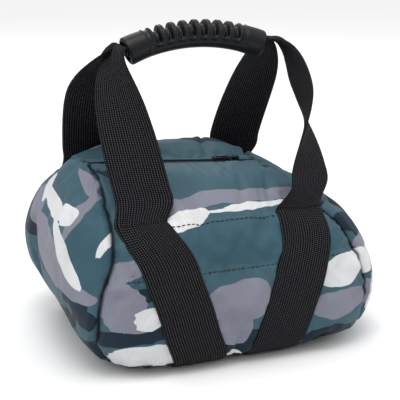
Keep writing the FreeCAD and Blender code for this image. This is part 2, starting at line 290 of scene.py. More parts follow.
# %% Key outlines of the bag
# height, half length, half depth, squareness, shift along X, fall towards +X per mm,
# and where the left and right end seams run, as parts of the half length
KEY_OUTLINES = [
    (3.2, 6, 4, 2.5, 0, 0, 0.90, 0.88),
    (3.2, 60, 46, 3.0, 0, 0, 0.90, 0.88),
    (3.0, 108, 90, 3.8, 0, 0, 0.90, 0.88),
    (5.0, 121, 104, 4.2, 2, 0, 0.92, 0.88),
    (15.0, 131, 114, 4.6, 5, 0, 0.94, 0.88),
    (34.0, 142, 119, 5.0, 4, 0, 0.93, 0.87),
    (60.0, 147, 120, 5.0, 1, 0, 0.88, 0.86),
    (86.0, 145, 119, 4.8, -4, 0, 0.83, 0.85),
    (108.0, 136, 114, 4.6, -8, 0, 0.79, 0.85),
    (127.0, 123, 103, 4.4, -12, 0.01, 0.81, 0.85),
    (143.0, 110, 83, 3.8, -16, 0.03, 0.85, 0.85),
    (155.0, 99, 58, 3.2, -19, 0.055, 0.89, 0.88),
    (160.0, 91, 34, 3.0, -21, 0.075, 0.94, 0.93),
    (161.4, 86, 17, 2.8, -21, 0.075, 0.975, 0.97),
    (161.2, 83, 7.0, 2.8, -21, 0.075, 0.99, 0.99),
]
ROW_STEPS = 8
LONG_CELLS = 96        # cells along a long face
END_CELLS = 72         # cells across an end

outlines = catmull(np.array(KEY_OUTLINES, float), ROW_STEPS)
ROWS = len(outlines)
COLUMNS = 2 * (LONG_CELLS + END_CELLS)


def bag_outline(row):
    """One closed outline. Columns: front left to right, right end, back right to left, left end."""
    height, a, b, n, shift, slope, seam_left, seam_right = row
    long_x = a * np.linspace(-seam_left, seam_right, LONG_CELLS, endpoint=False)
    front_y = -b * (1 - np.abs(long_x / a) ** n) ** (1 / n)
    back_x = a * np.linspace(seam_right, -seam_left, LONG_CELLS, endpoint=False)
    back_y = b * (1 - np.abs(back_x / a) ** n) ** (1 / n)
    s = np.linspace(-1, 1, END_CELLS, endpoint=False)
    right_y = s * b * (1 - seam_right ** n) ** (1 / n)
    right_x = a * (1 - np.abs(right_y / b) ** n) ** (1 / n)
    left_y = -s * b * (1 - seam_left ** n) ** (1 / n)
    left_x = -a * (1 - np.abs(left_y / b) ** n) ** (1 / n)
    x = np.concatenate([long_x, right_x, back_x, left_x]) + shift
    y = np.concatenate([front_y, right_y, back_y, left_y])
    return np.stack([x, y, height - slope * x], axis=1)


def puff_back(points):
    """The back half of the top stands fuller than the front half."""
    x, y, z = points[..., 0], points[..., 1], points[..., 2]
    lift = 11.0 * smooth(110, 155, z) * smooth(6, 55, y) * (1 - smooth(35, 105, np.abs(x + 12)))
    return points + np.stack([0 * x, 0 * x, lift], axis=-1)


TUCK_DEPTH = 14.0      # how far the left end slopes in near the floor
TUCK_TOP = 65.0        # and the height where it stands upright again


def tuck_left(points):
    """Low down, the left end panel slopes in under the bag, more so towards the back."""
    x, y, z = points[..., 0], points[..., 1], points[..., 2]
    depth = TUCK_DEPTH * (1 - smooth(25, TUCK_TOP, z))
    shift = depth * (1 - smooth(-130, -30, x)) * smooth(-95, 10, y)
    return points + np.stack([shift, 0 * y, 0 * z], axis=-1)


bag = tuck_left(puff_back(np.array([bag_outline(row) for row in outlines])))
print("bag grid:", bag.shape)

# %% [markdown]
# ## Distances along the cloth
#
# Patterns, stitches and webbing are all placed on the cloth, not in the air, so the grid needs
# its own two measures: `cloth_height`, the distance up the cloth from the base seam, and
# `cloth_around`, the distance round the bag. With those, a place on the bag can be named in the
# way a sewer would name it. `bag_place` finds its row and column, and `sample_grid` its point.

# %% Measures on the cloth
FACE_STARTS = {"front": 0, "right": LONG_CELLS, "back": LONG_CELLS + END_CELLS,
               "left": 2 * LONG_CELLS + END_CELLS}
FACE_MIDDLES = {name: start + (LONG_CELLS if name in ("front", "back") else END_CELLS) // 2
                for name, start in FACE_STARTS.items()}
BASE_SEAM_ROW = 3 * ROW_STEPS + 3


def cloth_measures(points):
    """Height up the cloth for each row, and distance round the bag for each point, in mm."""
    middle = points[:, FACE_MIDDLES["front"]]
    steps = np.linalg.norm(np.diff(middle, axis=0), axis=1)
    height = np.concatenate([[0], np.cumsum(steps)])
    height -= height[BASE_SEAM_ROW]
    loop = np.concatenate([points, points[:, :1]], axis=1)
    steps = np.linalg.norm(np.diff(loop, axis=1), axis=2)
    around = np.concatenate([np.zeros((len(points), 1)), np.cumsum(steps, axis=1)], axis=1)
    return height, around


cloth_height, cloth_around = cloth_measures(bag)


def sample_grid(points, row, column):
    """Points of a grid at fractional rows and columns; columns wrap round."""
    row = np.clip(row, 0, len(points) - 1.001)
    r0 = np.floor(row).astype(int)
    fr = (row - r0)[..., None]
    c0 = np.floor(column).astype(int)
    fc = (column - c0)[..., None]
    c1 = (c0 + 1) % COLUMNS
    c0 = c0 % COLUMNS
    low = points[r0, c0] * (1 - fc) + points[r0, c1] * fc
    high = points[r0 + 1, c0] * (1 - fc) + points[r0 + 1, c1] * fc
    return low * (1 - fr) + high * fr


def bag_place(face, along, height):
    """Fractional row and column of a place on the cloth, in millimetres from a face's middle."""
    along = np.asarray(along, float)
    height = np.asarray(height, float)
    along, height = np.broadcast_arrays(along, height)
    row = np.interp(height, cloth_height, np.arange(ROWS))
    middle = FACE_MIDDLES[face]
    flat_row, flat_along = row.ravel(), along.ravel()
    flat_column = np.zeros_like(flat_row)
    for index, (r, a) in enumerate(zip(flat_row, flat_along)):
        r0 = min(int(r), ROWS - 2)
        around = cloth_around[r0] * (1 - (r - r0)) + cloth_around[r0 + 1] * (r - r0)
        target = (around[middle] + a) % around[-1]
        flat_column[index] = np.interp(target, around, np.arange(COLUMNS + 1))
    return row, flat_column.reshape(row.shape)


print("cloth height from base seam to zip:", round(float(cloth_height[-1])), "mm")
print("distance round the belly:", round(float(cloth_around[:, -1].max())), "mm")

# %% [markdown]
# ## Letting the cloth puff
#
# Filled fabric isn't a smooth shape: it swells where nothing holds it and pulls in at seams,
# stitches and webbing, and the spare cloth there falls into small folds. Sculpting such folds by
# hand is slow, so the cloth is simulated. Every second point of the grid becomes a cloth mesh
# that is a few percent too large for its shape; pressure pushes it out. The base and the zip
# edge are pinned, and the seams, the stitches and the cloth under the webbing are held back. A
# cap on how far a point may move keeps the size true.

# %% Simulate the shell
RUN_FOOT = 33.5        # the webbing's distance from the middle plane, at the floor
RUN_LEAN = 0.33        # how much further out it is for each millimetre of height
RUN_SHIFT = -4.0       # both loops are sewn a little left of the middle at the foot
WEBBING_WIDTH = 50.0
PUFF_LIMIT = 7.0       # mm a point of the shell may move
STITCH_ROWS = (92.0, 138.0)   # height on the cloth of the two rows that hold the inner band


def webbing_distance(points):
    """Distance in mm from the middle of the nearest webbing run, for points on the long faces."""
    centre = RUN_FOOT + RUN_LEAN * points[..., 2]
    shift = RUN_SHIFT * (1 - smooth(40, 130, points[..., 2]))
    return np.abs(np.abs(points[..., 0] - shift) - centre) * math.cos(math.atan(RUN_LEAN))


def hold_weights(points):
    """How firmly each point is held: 1 is fixed, 0 is free."""
    rows = np.arange(ROWS)[:, None]
    z = points[..., 2]
    hold = np.zeros(points.shape[:2])
    hold = np.maximum(hold, np.where(rows < 3 * ROW_STEPS, 1.0, 0.0))
    hold = np.maximum(hold, np.where(rows >= ROWS - 4, 1.0, 0.0))
    on_face = np.zeros(COLUMNS, bool)
    for name in ("front", "back"):
        on_face[FACE_STARTS[name]:FACE_STARTS[name] + LONG_CELLS] = True
    under_webbing = (webbing_distance(points) < WEBBING_WIDTH / 2 + 1) & on_face[None, :] & (z < 140)
    hold = np.maximum(hold, np.where(under_webbing, 0.85, 0.0))
    for start in FACE_STARTS.values():
        for offset, weight in ((-1, 0.35), (0, 0.7), (1, 0.35)):
            column = (start + offset) % COLUMNS
            hold[:, column] = np.maximum(hold[:, column], weight)
    stitch_row = np.min([np.abs(cloth_height - h) for h in STITCH_ROWS], axis=0)
    stitched = (stitch_row[:, None] < 2.0) & on_face[None, :]
    return np.maximum(hold, np.where(stitched, 0.45, 0.0))


def simulate_shell(points, frames=16):
    rows = np.unique(np.concatenate([np.arange(0, ROWS, 2), [ROWS - 1]]))
    columns = np.arange(0, COLUMNS, 2)
    coarse = points[np.ix_(rows, columns)]
    piece = make_piece("shell_cloth", coarse, grid_faces(len(rows), len(columns), wrap=True), None)
    hold = hold_weights(points)[np.ix_(rows, columns)].ravel()
    group = piece.vertex_groups.new(name="held")
    for index, weight in enumerate(hold):
        group.add([index], float(weight), "REPLACE")
    cloth = piece.modifiers.new("cloth", "CLOTH")
    cloth.settings.quality = 5
    cloth.settings.mass = 0.3
    cloth.settings.tension_stiffness = 30
    cloth.settings.compression_stiffness = 30
    cloth.settings.shear_stiffness = 12
    cloth.settings.bending_stiffness = 0.6
    cloth.settings.use_pressure = True
    cloth.settings.uniform_pressure_force = 5.0
    cloth.settings.shrink_min = -0.045
    cloth.settings.vertex_group_mass = "held"
    cloth.settings.pin_stiffness = 1.0
    cloth.settings.effector_weights.gravity = 0.0
    cloth.collision_settings.use_collision = False
    scene = bpy.context.scene
    for frame_number in range(1, frames + 1):
        scene.frame_set(frame_number)
    evaluated = piece.evaluated_get(bpy.context.evaluated_depsgraph_get())
    moved = np.zeros(len(piece.data.vertices) * 3)
    evaluated.to_mesh().vertices.foreach_get("co", moved)
    evaluated.to_mesh_clear()
    moved = moved.reshape(coarse.shape) / MM
    scene.frame_set(1)
    bpy.data.objects.remove(piece, do_unlink=True)
    shift = moved - coarse
    distance = np.linalg.norm(shift, axis=-1, keepdims=True)
    shift *= np.minimum(1.0, PUFF_LIMIT / np.maximum(distance, 1e-6))
    return shift


def refine_shift(shift):
    """Spreads the coarse grid's movement smoothly over the full grid."""
    closed = np.concatenate([shift[:, -1:], shift, shift[:, :2]], axis=1)
    fine = catmull(np.swapaxes(closed, 0, 1), 2)[2:2 + COLUMNS]
    fine = np.swapaxes(fine, 0, 1)
    result = catmull(fine, 2)
    return result[:ROWS]


shell_shift = simulate_shell(bag)
bag = bag + refine_shift(shell_shift)
print("shell moved by up to", round(float(np.linalg.norm(shell_shift, axis=-1).max()), 1), "mm")

# %% [markdown]
# ## Seams, stitch lines and the panels
#
# The shell is one grid so far. On the real bag each panel is cut from flat cloth and sewn to the
# next, so the grid is cut along its seam columns into separate panels with their own thickness.
# Close to a seam the cloth dips inwards, because its edge is turned in, and it puckers between
# the stitches. The same is done, more gently, along the two rows of stitches on each face.

# %% Seam relief
SEAM_DEPTH = 2.6
SEAM_WIDTH = 3.4
TOP_FOLD_HEIGHT = 151.0   # a soft fold crosses each long face just above the top stitches


def seam_distance():
    """Distance along the cloth from the nearest end seam, for each point."""
    loop = cloth_around[:, -1:]
    here = cloth_around[:, :-1]
    distance = np.full(here.shape, 1e3)
    for start in FACE_STARTS.values():
        gap = np.abs(here - here[:, start:start + 1])
        distance = np.minimum(distance, np.minimum(gap, loop - gap))
    return distance


def wave(length, seed):
    """A gentle random wave along the rows, with about one swell in each length of cloth."""
    local = np.random.default_rng(seed)
    knots = local.uniform(-1, 1, int(cloth_height[-1] - cloth_height[0]) // int(length) + 4)
    places = np.linspace(cloth_height[0], cloth_height[-1], len(knots))
    return np.interp(cloth_height, places, knots)


def add_relief(points):
    normals = grid_normals(points, wrap=True)
    gap = seam_distance()
    depth = SEAM_DEPTH * np.exp(-(gap / SEAM_WIDTH) ** 2)
    lip = 1.1 * np.exp(-((gap - 6.0) / 3.0) ** 2)
    pucker = np.zeros_like(gap)
    for index, start in enumerate(FACE_STARTS.values()):
        near = np.abs(cloth_around[:, :-1] - cloth_around[:, start:start + 1])
        pucker += 0.9 * wave(9, 20 + index)[:, None] * np.exp(-(near / 9.0) ** 2)
    on_face = np.zeros(COLUMNS)
    for name in ("front", "back"):
        on_face[FACE_STARTS[name]:FACE_STARTS[name] + LONG_CELLS] = 1.0
    stitched = np.zeros_like(gap)
    for h in STITCH_ROWS:
        stitched += np.exp(-((cloth_height - h) / 2.4) ** 2)[:, None] * on_face
    fold = np.exp(-((cloth_height - TOP_FOLD_HEIGHT) / 3.0) ** 2)[:, None] * on_face
    above_base = smooth(-6, 6, cloth_height)[:, None]
    below_zip = 1 - smooth(cloth_height[-1] - 14, cloth_height[-1] - 4, cloth_height)[:, None]
    push = (lip + pucker - depth) * above_base * below_zip - 1.1 * stitched - 0.9 * fold
    base_seam = np.exp(-(cloth_height / 3.0) ** 2)[:, None]
    return points + normals * (push - 1.6 * base_seam)[..., None]


bag = add_relief(bag)
cloth_height, cloth_around = cloth_measures(bag)
bag_normals = grid_normals(bag, wrap=True)
outward = np.sign(np.sum(bag_normals[60, 10] * np.array([0, -1, 0])))
bag_normals = bag_normals * outward
print("normals point", "out" if outward > 0 else "in, so they were turned")

# %% [markdown]
# ## The camouflage cloth
#
# The shell is a plain-weave polyester with a printed camouflage pattern: flat patches with crisp
# edges in five dull blue and grey inks. Patches could be painted into an image, but an image
# needs a file and a fixed size. Here each ink is a set of uneven ovals drawn on the cloth in
# millimetres. The mesh stores, for each ink, how far every point is inside or outside those
# outlines; the shader turns that distance into a crisp edge. Distances blend well between
# points, so the edge stays sharp even though the points are 3 mm apart.

# %% Camouflage patches
BLOB_POINTS = 18       # corners of one oval's outline


def blob(along, height, half_length, half_width, tilt=0, bend=0):
    """An uneven oval patch on a panel, in millimetres, tilted in degrees and bowed lengthways."""
    turn = np.linspace(0, 2 * np.pi, BLOB_POINTS, endpoint=False)
    uneven = 1 + 0.12 * np.sin(2 * turn + along) + 0.07 * np.sin(3 * turn + height)
    u = half_length * np.cos(turn)
    v = half_width * np.sin(turn) * uneven + bend * (np.cos(turn) ** 2 - 0.5)
    cosine, sine = math.cos(math.radians(tilt)), math.sin(math.radians(tilt))
    return [(along + a * cosine - b * sine, height + a * sine + b * cosine) for a, b in zip(u, v)]


# Ovals of one ink that overlap join into one patch.
FRONT_PATCHES = {
    "steel": [blob(10, 118, 80, 22), blob(-95, 90, 20, 9), blob(90, 108, 22, 12)],
    "navy": [blob(0, 14, 35, 18), blob(-95, 78, 15, 7), blob(-105, 40, 42, 9, 5), blob(90, 10, 30, 14),
             blob(-60, 205, 32, 10)],
    "lilac": [blob(15, 160, 85, 8, 3, -10), blob(-5, 62, 32, 23), blob(-10, 35, 18, 20),
              blob(100, 45, 35, 13), blob(-104, 102, 20, 9, 20), blob(-115, 70, 24, 21),
              blob(-100, 56, 20, 12)],
    "white": [blob(-38, 143, 30, 9, 15), blob(45, 152, 55, 4, 0, -4), blob(105, 77, 30, 13, 15),
              blob(-90, 57, 14, 11, 30), blob(-92, 15, 38, 18), blob(-18, 2, 18, 9)],
}
LEFT_PATCHES = {
    "steel": [blob(92, 125, 35, 42), blob(-25, 42, 42, 18), blob(-82, 128, 25, 16)],
    "navy": [blob(-54, 104, 24, 17), blob(10, 82, 24, 9, 20), blob(84, 68, 20, 8), blob(52, 42, 28, 12, 20),
             blob(96, 55, 15, 11), blob(92, 18, 35, 13)],
    "lilac": [blob(20, 95, 58, 22, -15), blob(-36, 125, 18, 26), blob(80, 79, 35, 8, -5),
              blob(57, 145, 9, 32), blob(35, 186, 26, 8, -35), blob(-92, 56, 22, 17)],
    "white": [blob(-27, 150, 8, 18), blob(5, 138, 35, 10, -12), blob(45, 138, 15, 13),
              blob(62, 104, 44, 8, -30), blob(105, 126, 5, 17), blob(-95, 12, 24, 12, 10)],
}
EXTRA_PATCHES = {
    "back": {"lilac": [blob(40, 190, 30, 14)], "navy": [blob(-45, 202, 26, 9)],
             "white": [blob(-45, 184, 18, 6, 10)]},
    "right": {"white": [blob(-115, 78, 20, 12)], "lilac": [blob(-115, 45, 22, 13)]},
}
HALF_TURN_HEIGHT = 170.0   # the print is turned half round about half this height


def half_turned(patches):
    """The same print cut the other way up, as it comes off the roll for the opposite panel."""
    return {ink: [[(-along, HALF_TURN_HEIGHT - height) for along, height in outline] for outline in outlines]
            for ink, outlines in patches.items()}


PATCHES = {"front": FRONT_PATCHES, "left": LEFT_PATCHES,
           "back": half_turned(FRONT_PATCHES), "right": half_turned(LEFT_PATCHES)}
for panel, extra in EXTRA_PATCHES.items():
    for ink, outlines_more in extra.items():
        PATCHES[panel][ink] = PATCHES[panel][ink] + outlines_more
print("patches:", {panel: sum(len(o) for o in inks.values()) for panel, inks in PATCHES.items()})


def outline_distance(places, outline):
    """Distance of each place from a smooth closed outline: negative inside."""
    outline = np.array(outline, float)
    ring = np.concatenate([outline[-1:], outline, outline[:2]])
    curve = catmull(ring, 6)[6:-6]
    starts, ends = curve[:-1], curve[1:]
    flat = places.reshape(-1, 2)
    best = np.full(len(flat), 1e6)
    inside = np.zeros(len(flat), bool)
    for a, b in zip(starts, ends):
        edge = b - a
        part = np.clip(((flat - a) @ edge) / max(edge @ edge, 1e-9), 0, 1)
        best = np.minimum(best, np.linalg.norm(flat - (a + part[:, None] * edge), axis=1))
        crosses = (a[1] > flat[:, 1]) != (b[1] > flat[:, 1])
        rise = b[1] - a[1] if abs(b[1] - a[1]) > 1e-9 else 1e-9
        inside ^= crosses & (flat[:, 0] < a[0] + (flat[:, 1] - a[1]) * edge[0] / rise)
    return np.where(inside, -best, best).reshape(places.shape[:-1])


INKS = ["steel", "navy", "lilac", "white"]


def store_inks(piece, places, panel, copies):
    """Writes one distance per ink on each point of a piece that has `copies` layers of its grid."""
    for ink in INKS:
        distance = np.full(places.shape[:-1], 60.0)
        for outline in PATCHES[panel].get(ink, []):
            distance = np.minimum(distance, outline_distance(places, outline))
        distance = np.clip(distance, -60, 60)
        attribute = piece.data.attributes.new(ink + "_ink", "FLOAT", "POINT")
        attribute.data.foreach_set("value", np.tile(distance.ravel(), copies))

# %% [markdown]
# The cloth's own look is a plain weave about 0.5 mm a thread. That is too fine to show from a
# metre away, so the weave is drawn at 1.3 mm, just coarse enough to see. The coating on the back
# of such cloth makes it a little stiff and gives the face a low, broad shine.

# %% Printed polyester
def cloth_place(tree, on_uv):
    """The place on the cloth in mm: from the piece's own layer, or from the solid where it has none."""
    if on_uv:
        return add_node(tree, "ShaderNodeUVMap", uv_map="cloth_mm").outputs[0]
    solid = add_node(tree, "ShaderNodeTexCoord").outputs["Object"]
    return add_node(tree, "ShaderNodeVectorMath", {0: solid, "Scale": 1 / MM}, operation="SCALE").outputs[0]


def weave_height(tree, vector, pitch):
    """Plain weave: two sets of threads that cross, over and under, from two sine waves."""
    split = add_node(tree, "ShaderNodeSeparateXYZ", {0: vector})
    turn = math.pi / pitch
    across = math_node(tree, "SINE", math_node(tree, "MULTIPLY", split.outputs[0], turn))
    up = math_node(tree, "SINE", math_node(tree, "MULTIPLY", split.outputs[1], turn))
    return math_node(tree, "MULTIPLY", across, up)


def printed_polyester():
    material, tree, shader = new_material("printed_polyester_camouflage")
    cloth = add_node(tree, "ShaderNodeUVMap", uv_map="cloth_mm").outputs[0]
    solid = add_node(tree, "ShaderNodeTexCoord").outputs["Object"]
    wobble = add_node(tree, "ShaderNodeTexNoise", {"Vector": cloth, "Scale": 0.05, "Detail": 1.0}).outputs[0]
    shift = math_node(tree, "MULTIPLY", math_node(tree, "SUBTRACT", wobble, 0.5), 5.0)
    colour = None
    inks = {"steel": "32525f", "navy": "0b2130", "lilac": "7c7d8b", "white": "d2d3d5"}
    ground = "3a5763"
    for ink, code in inks.items():
        distance = add_node(tree, "ShaderNodeAttribute", attribute_name=ink + "_ink").outputs["Fac"]
        edge = math_node(tree, "ADD", distance, shift)
        cover = add_node(tree, "ShaderNodeMapRange", {
            "Value": edge, "From Min": 0.25, "From Max": -0.25}).outputs[0]
        mix = add_node(tree, "ShaderNodeMix", {"Factor": cover}, data_type="RGBA")
        if colour is None:
            mix.inputs["A"].default_value = hex_colour(ground)
        else:
            tree.links.new(colour, mix.inputs["A"])
        mix.inputs["B"].default_value = hex_colour(code)
        colour = mix.outputs["Result"]
    fade = add_node(tree, "ShaderNodeTexNoise", {"Vector": solid, "Scale": 22.0, "Detail": 5.0}).outputs[0]
    level = add_node(tree, "ShaderNodeMapRange", {"Value": fade, "From Min": 0.25, "From Max": 0.75,
                                                  "To Min": 0.84, "To Max": 1.14}).outputs[0]
    weave = weave_height(tree, cloth, 1.3)
    thread = add_node(tree, "ShaderNodeMapRange", {"Value": weave, "From Min": -1.0, "From Max": 1.0,
                                                   "To Min": 0.84, "To Max": 1.14}).outputs[0]
    level = math_node(tree, "MULTIPLY", level, thread)
    # Painted shade: within 0.6 mm of each end seam the cloth's colour is darkened to 0.15 of itself, fading
    # out by 3.2 mm, so the seam's dip reads dark.
    seam = add_node(tree, "ShaderNodeAttribute", attribute_name="seam_mm").outputs["Fac"]
    painted_seam_shade = add_node(tree, "ShaderNodeMapRange", {"Value": seam, "From Min": 0.6, "From Max": 3.2,
                                                   "To Min": 0.15, "To Max": 1.0}).outputs[0]
    level = math_node(tree, "MULTIPLY", level, painted_seam_shade)
    tinted = add_node(tree, "ShaderNodeVectorMath", {0: colour, "Scale": level}, operation="SCALE").outputs[0]
    tree.links.new(tinted, shader.inputs["Base Color"])
    bump = add_node(tree, "ShaderNodeBump", {
        "Height": weave, "Strength": 0.35, "Distance": 0.00012}).outputs[0]
    creases = add_node(tree, "ShaderNodeTexNoise", {"Vector": solid, "Scale": 60.0, "Detail": 4.0,
                                                    "Roughness": 0.6}).outputs[0]
    bump = add_node(tree, "ShaderNodeBump", {"Height": creases, "Strength": 0.25, "Distance": 0.0012,
                                             "Normal": bump}).outputs[0]
    tree.links.new(bump, shader.inputs["Normal"])
    shader.inputs["Roughness"].default_value = 0.62
    shader.inputs["Sheen Weight"].default_value = 0.03
    shader.inputs["Sheen Roughness"].default_value = 0.5
    shader.inputs["Specular IOR Level"].default_value = 0.22
    return material


camouflage = printed_polyester()

# %% [markdown]
# ## Base cloth and thread
#
# The base is plain black cloth of a heavier weave, seen only where the bottom corners lift.

# %% Plain black cloths
def woven_black(name, code, pitch, roughness, on_uv=True):
    material, tree, shader = new_material(name)
    cloth = cloth_place(tree, on_uv)
    weave = weave_height(tree, cloth, pitch)
    level = add_node(tree, "ShaderNodeMapRange", {"Value": weave, "From Min": -1.0, "From Max": 1.0,
                                                  "To Min": 0.55, "To Max": 1.5}).outputs[0]
    base = add_node(tree, "ShaderNodeRGB")
    base.outputs[0].default_value = hex_colour(code)
    tinted = add_node(tree, "ShaderNodeVectorMath", {0: base.outputs[0], "Scale": level},
                      operation="SCALE").outputs[0]
    tree.links.new(tinted, shader.inputs["Base Color"])
    bump = add_node(tree, "ShaderNodeBump", {"Height": weave, "Strength": 0.6, "Distance": 0.0003}).outputs[0]
    tree.links.new(bump, shader.inputs["Normal"])
    shader.inputs["Roughness"].default_value = roughness
    return material


base_cloth = woven_black("woven_polyester_black", "17181a", 1.4, 0.8)

# %% [markdown]
# ## Cutting the panels
#
# Each panel takes its own columns of the grid, from the base seam to the zip. The outer face is
# the grid itself, and the inner face is 1.5 mm inside it all over.

# %% Make the panels
PANEL_THICK = 1.5
PANEL_NODES = {"front": "front_panel", "right": "right_end_panel", "back": "back_panel",
               "left": "left_end_panel"}


def panel_columns(face):
    start = FACE_STARTS[face]
    cells = LONG_CELLS if face in ("front", "back") else END_CELLS
    return np.arange(start, start + cells + 1)


def store_seam(piece, along):
    """Distance in mm from the nearer end seam, which the material uses to paint shade along the seam."""
    gap = np.minimum(along - along[:, :1], along[:, -1:] - along)
    attribute = piece.data.attributes.new("seam_mm", "FLOAT", "POINT")
    attribute.data.foreach_set("value", np.tile(gap.ravel(), 2))


def make_panel(face):
    columns = panel_columns(face)
    rows = slice(BASE_SEAM_ROW, ROWS)
    outer = bag[rows][:, columns % COLUMNS]
    normals = bag_normals[rows][:, columns % COLUMNS]
    middle = FACE_MIDDLES[face]
    along = np.concatenate([cloth_around, cloth_around[:, 1:] + cloth_around[:, -1:]], axis=1)
    along = along[rows][:, columns] - cloth_around[rows, middle][:, None]
    height = np.repeat(cloth_height[rows][:, None], len(columns), axis=1)
    places = np.stack([along, height], axis=-1)
    piece = slab("cloth_" + PANEL_NODES[face], outer, normals, np.full(outer.shape[:2], PANEL_THICK),
                 camouflage, places)
    store_inks(piece, places, face, 2)
    store_seam(piece, along)
    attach(piece, "bag")
    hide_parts(PANEL_NODES[face])
    return piece


def make_base():
    rows = slice(0, BASE_SEAM_ROW + 1)
    columns = np.arange(COLUMNS + 1) % COLUMNS
    outer = bag[rows][:, columns]
    piece = slab("cloth_base_panel", outer, bag_normals[rows][:, columns],
                 np.full(outer.shape[:2], PANEL_THICK), base_cloth, outer[..., :2])
    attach(piece, "bag")
    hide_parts("base_panel")
    return piece


panels = [make_panel(face) for face in PANEL_NODES] + [make_base()]
print("panels:", [p.name for p in panels])

# %% [markdown]
# ## Webbing
#
# The loops are 50 mm polypropylene webbing: thick yarns along its length, bound by thin ones
# across, which gives rows of small slanted bumps. On the surface of a flat strap such bumps are
# under a millimetre high, so they are done with bump and colour from the strap's own
# coordinates. The strap itself is real geometry with a real thickness and rounded edges.

# %% Polypropylene webbing
def polypropylene_webbing(name, on_uv=True):
    material, tree, shader = new_material(name)
    cloth = cloth_place(tree, on_uv)
    split = add_node(tree, "ShaderNodeSeparateXYZ", {0: cloth})
    across, along = split.outputs[0], split.outputs[1]
    yarn = 2.3
    pick = 1.7
    column = math_node(tree, "MULTIPLY", across, math.pi / yarn)
    zigzag = math_node(tree, "PINGPONG", across, yarn)
    slant = math_node(tree, "ADD", along, math_node(tree, "MULTIPLY", zigzag, 0.55))
    row = math_node(tree, "MULTIPLY", slant, math.pi / pick)
    bumps = math_node(tree, "ABSOLUTE", math_node(tree, "MULTIPLY", math_node(tree, "SINE", column),
                                                  math_node(tree, "SINE", row)))
    solid = add_node(tree, "ShaderNodeTexCoord").outputs["Object"]
    fuzz = add_node(tree, "ShaderNodeTexNoise", {"Vector": solid, "Scale": 900.0, "Detail": 2.0}).outputs[0]
    height = math_node(tree, "ADD", bumps, math_node(tree, "MULTIPLY", fuzz, 0.35))
    ramp = add_node(tree, "ShaderNodeValToRGB", {0: math_node(tree, "MULTIPLY", height, 0.75)})
    ramp.color_ramp.elements[0].position = 0.52
    ramp.color_ramp.elements[0].color = hex_colour("020203")
    ramp.color_ramp.elements[1].position = 1.0
    ramp.color_ramp.elements[1].color = hex_colour("5c5c62")
    tree.links.new(ramp.outputs[0], shader.inputs["Base Color"])
    bump = add_node(tree, "ShaderNodeBump", {
        "Height": height, "Strength": 0.9, "Distance": 0.0006}).outputs[0]
    tree.links.new(bump, shader.inputs["Normal"])
    shader.inputs["Roughness"].default_value = 0.75
    shader.inputs["Specular IOR Level"].default_value = 0.1
    return material


webbing = polypropylene_webbing("woven_polypropylene_webbing")
hidden_webbing = polypropylene_webbing("woven_polypropylene_webbing_plain", on_uv=False)

# %% [markdown]
# ## The sewn runs
#
# Each run lies on the cloth and leans outwards as it goes up, so the two runs on a face make a V.
# Points are placed across and along the run on the cloth, then lifted off it by the webbing's
# thickness.

# %% Lay the sewn runs
WEBBING_THICK = 2.0
ACROSS = np.linspace(-1, 1, 15)
RUN_TOP_HEIGHT = 141.0      # how far up the cloth the runs are sewn
RUN_FACES = {"front": -1, "back": 1}


def strap_edge(across):
    """Thickness of webbing from edge to edge: the woven edge is a little thinner and round."""
    return WEBBING_THICK * (1 - 0.5 * np.abs(across) ** 14)


def run_grid(face, end_side):
    """The outer surface of one sewn run; rows go up, columns go from left to right."""
    heights = np.concatenate([np.linspace(-14, 4, 8)[:-1], np.linspace(4, RUN_TOP_HEIGHT, 44)])
    row_places = np.interp(heights, cloth_height, np.arange(ROWS))
    middle_z = np.interp(row_places, np.arange(ROWS), bag[:, FACE_MIDDLES[face], 2])
    shift = RUN_SHIFT * (1 - smooth(40, 130, middle_z))
    centre = end_side * (RUN_FOOT + RUN_LEAN * middle_z) + shift
    slope = np.gradient(centre, heights)
    turn = np.arctan(slope)
    half = WEBBING_WIDTH / 2 * ACROSS
    along = centre[:, None] + half[None, :] * np.cos(turn)[:, None]
    height = heights[:, None] - half[None, :] * np.sin(turn)[:, None]
    if face == "back":
        along = -along
    row, column = bag_place(face, along, height)
    points = sample_grid(bag, row, column)
    normals = normalise(sample_grid(bag_normals, row, column))
    return points, normals, heights, half


def soften(points, times):
    """Evens out a strap lengthways, since webbing bridges small dips in the cloth."""
    for _ in range(times):
        points[1:-1] = (points[:-2] + 2 * points[1:-1] + points[2:]) / 4
    return points


runs = {}


def make_run(face, end):
    end_side = -1 if end == "left" else 1
    points, normals, heights, half = run_grid(face, end_side)
    lift = strap_edge(ACROSS)[None, :, None] + 0.5
    outer = soften(points + normals * lift, 6)
    outer[..., 2] = np.maximum(outer[..., 2], 0.6)
    uv = np.stack(np.broadcast_arrays(half[None, :], heights[:, None]), axis=-1)
    thick = np.broadcast_to(strap_edge(ACROSS), outer.shape[:2])
    piece = slab(f"webbing_{face}_{end}_run", outer, normals, thick, webbing, uv)
    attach(piece, "bag")
    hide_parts(f"{face}_{end}_webbing")
    runs[face, end] = (outer, normals)
    return piece


for face in RUN_FACES:
    for end in ("left", "right"):
        make_run(face, end)
print("sewn runs:", len(runs), "top of front right run at z",
      round(float(runs["front", "right"][0][-1, 7, 2])), "mm")

# %% [markdown]
# ## The runs under the base
#
# The two loops cross under the bag. They are flat there, and the floor hides them, so the flat
# strips of the CAD model are right as they are; they only need the webbing's finish. The same
# goes for the parts inside the bag and inside the grip.

# %% Finish hidden and carried-over parts
def finish_node(node, material):
    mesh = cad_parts[node].data
    mesh.materials.clear()
    mesh.materials.append(material)


for node in ("lower_base_webbing", "upper_base_webbing", "front_grip_webbing", "back_grip_webbing"):
    finish_node(node, hidden_webbing)

# %% [markdown]
# ## The free webbing
#
# Between the bag and the grip the webbing is free. It leaves the bag's shoulder lying flat
# against it, turns a quarter turn on the way up, bends over sharply and goes into the grip's end
# folded. A twisting strap is hard to pull into shape by hand but easy to build: its middle
# follows a Bezier curve, and stations along it say which way the width points and how wide it is
# there. Each lengthwise yarn is a smooth curve through the stations.

